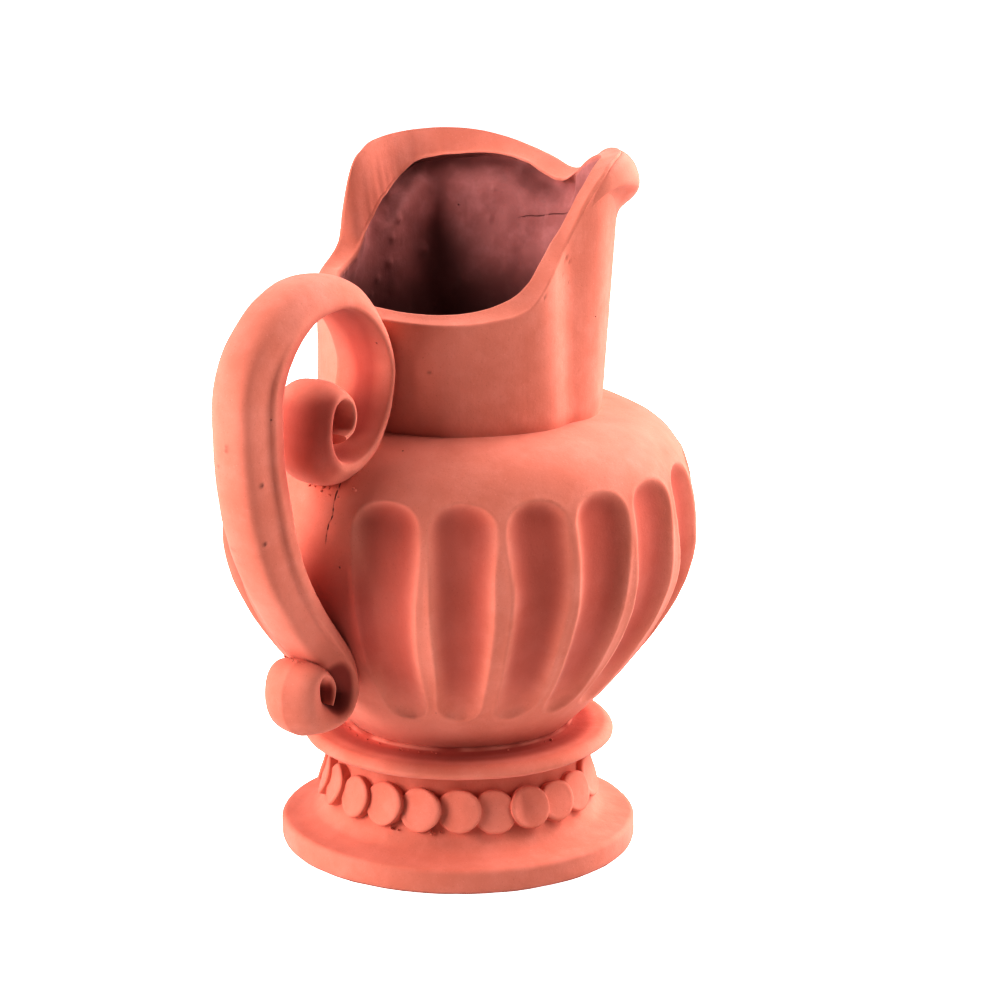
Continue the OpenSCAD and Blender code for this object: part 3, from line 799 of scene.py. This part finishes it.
# The same on the scroll, whose near side is plainly rounded
SCROLL_NEAR = [(-0.3, -0.96, 0), (-0.6, -0.975, 0), (-0.8, -0.97, 0), (-0.91, -0.93, 0), (-0.965, -0.84, 0),
               (-0.99, -0.7, 0), (-1, -0.52, 0), (-0.995, -0.33, 0), (-0.985, -0.14, 0), (-0.965, 0.04, 0),
               (-0.935, 0.22, 0), (-0.895, 0.4, 0), (-0.84, 0.57, 0.02), (-0.77, 0.72, 0.12),
               (-0.68, 0.84, 0.3), (-0.56, 0.93, 0.52), (-0.4, 0.985, 0.75), (-0.2, 1, 0.93)]
# The same round the lower curl, whose far end is domed and whose near end is a blunt cone
CURL_FAR = [(0, 1, 0.5), (0.22, 0.98, 0.45), (0.42, 0.92, 0.35), (0.58, 0.84, 0.25), (0.7, 0.72, 0.12),
            (0.78, 0.58, 0), (0.84, 0.42, 0), (0.88, 0.26, 0), (0.9, 0.1, 0), (0.9, -0.08, 0),
            (0.88, -0.26, 0), (0.84, -0.42, 0), (0.77, -0.57, 0), (0.68, -0.7, 0), (0.56, -0.81, 0),
            (0.4, -0.9, 0), (0.2, -0.965, 0), (0, -1, 0)]
CURL_NEAR = [(-0.1, -1.01, 0), (-0.16, -1, 0), (-0.21, -0.97, 0), (-0.3, -0.92, 0), (-0.45, -0.83, 0),
             (-0.6, -0.73, 0), (-0.73, -0.61, 0), (-0.84, -0.47, 0), (-0.92, -0.31, 0), (-0.97, -0.13, 0),
             (-0.985, 0.05, 0), (-0.97, 0.24, 0), (-0.93, 0.42, 0), (-0.87, 0.58, 0), (-0.78, 0.74, 0),
             (-0.65, 0.87, 0.1), (-0.45, 0.95, 0.25), (-0.22, 0.99, 0.42)]
STRAP_W, CROWN = 27, 4.5
HANDMADE = dict(wobble=0.5, dents=0.16, fine=0.05, seed=81)


def closed_section(half_far, half_near):
    ring = half_far + half_near
    return through(ring + [ring[0]], 3)[:-1]


def sweep(places, n, other, share_of, join_first=False, widen=lambda at: 0 * at):
    """The strap along the path of places, n rings to each stretch.

    Its section turns into the section other: share_of gives the share of that at a place's number, and widen
    gives how much wider than STRAP_W it is.
    """
    path = through(places, n)
    count = len(path)
    along = np.gradient(path[:, :2], axis=0)
    along /= np.linalg.norm(along, axis=1, keepdims=True)
    # Both pieces of the handle share one end face.
    near = np.arange(count) if join_first else np.arange(count)[::-1]
    share = np.clip(1 - near / (0.6 * n), 0, 1)[:, None]
    along = along * (1 - share) + share * np.array(JOIN_DIRECTION)
    along /= np.linalg.norm(along, axis=1, keepdims=True)
    at = np.arange(count) / n
    part = share_of(at)[:, None, None]
    section = closed_section(STRAP_FAR, STRAP_NEAR) * (1 - part) + closed_section(*other) * part
    crown = np.minimum(CROWN, path[:, 2] / 2)[:, None]
    out = section[..., 1] * path[:, 2:] / 2 + section[..., 2] * crown
    x = -(path[:, :1] + out * along[:, 1:])
    z = path[:, 1:2] - out * along[:, :1]
    return np.stack([x, section[..., 0] * (STRAP_W + widen(at))[:, None] / 2, z], -1)


def off_wall(points, seam):
    """Points that would lie in the wall of body or neck, moved out to it."""
    r = np.hypot(points[..., 0], points[..., 1])
    least = wall_r(points[..., 2]) + seam
    scale = np.where((points[..., 2] < 254) & (r < least), least / np.maximum(r, 1), 1)
    return np.stack([points[..., 0] * scale, points[..., 1] * scale, points[..., 2]], -1)


def make_handle(material):
    rnd = np.random.RandomState(85)
    # A line of pits where the two pieces meet, and a few nicks, with painted shade in them
    spots = [((-151.0 + 0.12 * y * y / 10, y, 170.5 - 0.25 * y + rnd.uniform(-0.8, 0.8)),
              rnd.uniform(0.6, 1.1),
              rnd.uniform(0.4, 0.9)) for y in np.arange(-9.5, 8, 1.6)]
    spots += [((-160.8, 0.5, 215.5), 0.9, 0.8), ((-160.8, 0.7, 213.8), 0.9, 0.8),
              ((-161, 6.5, 206), 0.8, 0.5), ((-160.5, 1.5, 232), 0.7, 0.4), ((-153, -11, 199), 0.9, 0.6)]
    scroll = sweep(SCROLL, 24, (STRAP_FAR, SCROLL_NEAR), lambda at: smooth((at - 4.3) / 3), join_first=True,
                   widen=lambda at: 3.6 * smooth((at - 6) / 6) - 2 * smooth((at - 19) / 5))
    scroll = handmade(off_wall(scroll, -0.3), **HANDMADE)
    # The first ring goes on into the other piece.
    inner_ring = scroll[:1] * 0.94 + scroll[:1].mean(1, keepdims=True) * 0.06 - [0, 0, 1.2]
    scroll, painted_shade = pitted(np.concatenate([inner_ring, scroll]), spots)
    # Painted shade: the faces towards the eye of the scroll are redder, and so is the roll where it turns to
    # the strap.
    middle = scroll.mean(1, keepdims=True)
    eye = middle[-1, 0]
    out = (scroll - middle) / np.maximum(np.linalg.norm(scroll - middle, axis=2, keepdims=True), 1)
    way = (eye - middle) / np.maximum(np.linalg.norm(eye - middle, axis=2, keepdims=True), 1)
    painted_shade_red = 0.55 * smooth(((out * way).sum(2) - 0.1) / 0.5)
    near = np.hypot(scroll[..., 0] - eye[0], scroll[..., 2] - eye[2])
    painted_shade_red = np.maximum(painted_shade_red, 0.42 * smooth((eye[0] - 3 - scroll[..., 0]) / 6) * smooth((24 - near) / 4))
    painted_shade_red = painted_shade_red * smooth((scroll[..., 2] - 174) / 34)
    grid_piece("handle_scroll_clay", scroll, material, ["handle_volute"], marks={"painted_shade": painted_shade, "painted_shade_red": painted_shade_red})
    strap = sweep(STRAP, 22, (CURL_FAR, CURL_NEAR), lambda at: 1 - smooth((at - 9.5) / 4))
    strap = handmade(off_wall(strap, -0.3), **HANDMADE)
    strap, painted_shade = pitted(strap, spots)
    # Painted shade in the eye of the curl
    eye = smooth((10 - np.hypot(strap[..., 0] + 102.5, (strap[..., 2] - 98) / 1.35)) / 3.5)
    eye = eye * smooth((strap[..., 1] + 13.3) / 2)
    painted_shade = np.maximum(painted_shade, 0.35 * eye)
    grid_piece("handle_strap_clay", strap, material, ["handle_strap"], marks={"painted_shade": painted_shade, "painted_shade_red": 0.7 * eye})


# Crumbs

def make_crumbs(material):
    """Crumbs of slip left along the joints: rough little lumps, half sunk in the clay."""
    rnd = np.random.RandomState(90)

    def on_body(a, z):
        return polar(np.interp(z, OUTLINE[:, 1], OUTLINE[:, 0]), a, z)

    places = []
    # Under the scroll, where it lies on the shoulder
    for a, z, count in ((176.5, 186, 4), (179.5, 185, 6), (182.5, 184.5, 5), (187, 187, 2)):
        places += [(on_body(a + rnd.normal(0, 1.1), z + rnd.normal(0, 1.0)), rnd.uniform(0.3, 0.75))
                   for _ in range(count)]
    # On the strap above its curl
    for _ in range(15):
        y = rnd.uniform(-9, 5)
        place = np.array([-121.5 + 0.3 * y + rnd.normal(0, 0.5), y, 114.2 + rnd.normal(0, 0.4)])
        places.append((place, rnd.uniform(0.25, 0.5)))
    # Along the seam between the body and the collar
    for _ in range(44):
        a = rnd.uniform(0, 360)
        place = polar(52.6 + rnd.uniform(0, 1.4), a, 56.1 + rnd.uniform(-0.2, 0.5))
        places.append((place, rnd.uniform(0.25, 0.5)))
    # Round the foot of the buttons
    for a, spread, count in ((189, 1.2, 7), (205, 1.5, 6), (231, 2.5, 9), (249, 2, 4), (262, 1.5, 5),
                             (60, 9, 8), (120, 9, 8)):
        for _ in range(count):
            z = rnd.uniform(21.5, 23.2)
            place = polar(STEM_R + 1.4 + rnd.uniform(-0.8, 1.6), a + rnd.normal(0, spread), z)
            places.append((place, rnd.uniform(0.3, 0.75)))
    points, triangles = [], []
    u = np.arange(8) * math.pi / 4
    for place, size in places:
        start = len(points)
        rings = [(0, -1)] + [(math.sin(v), -math.cos(v)) for v in (0.8, 1.57, 2.34)] + [(0, 1)]
        stretch = np.array([rnd.uniform(0.7, 1.5), rnd.uniform(0.7, 1.5), rnd.uniform(0.6, 1.1)]) * size
        for r, h in rings:
            for k in range(1 if r == 0 else 8):
                way = np.array([r * math.cos(u[k]), r * math.sin(u[k]), h])
                points.append(place + way * stretch * rnd.uniform(0.75, 1.2))
        for k in range(8):
            n = (k + 1) % 8
            triangles += [(start, start + 1 + n, start + 1 + k), (start + 25, start + 17 + k, start + 17 + n)]
            for ring in (1, 9):
                low, high = start + ring, start + ring + 8
                triangles += [(low + k, low + n, high + n), (low + k, high + n, high + k)]
    add_mesh("slip_crumbs_clay", np.array(points), [], np.array(triangles), material)


# Put together

make_camera()
for light_way in LIGHTS:
    make_light(*light_way)
make_world()
make_floor()
scene = bpy.context.scene
scene.view_settings.view_transform = "Standard"
scene.view_settings.look = "None"
scene.view_settings.gamma = 0.6

clay = terracotta("terracotta")
clay_streaked = terracotta("terracotta_wiped", streaks=0.2, seed=0.31)
make_foot_plate(clay)
make_stem(clay)
make_collar(clay)
for button in range(BUTTONS):
    make_button(button, clay)
make_body(clay)
make_neck(clay_streaked)
make_lip_roll(clay_streaked)
make_handle(clay)
make_crumbs(clay)

bpy.context.view_layer.update()
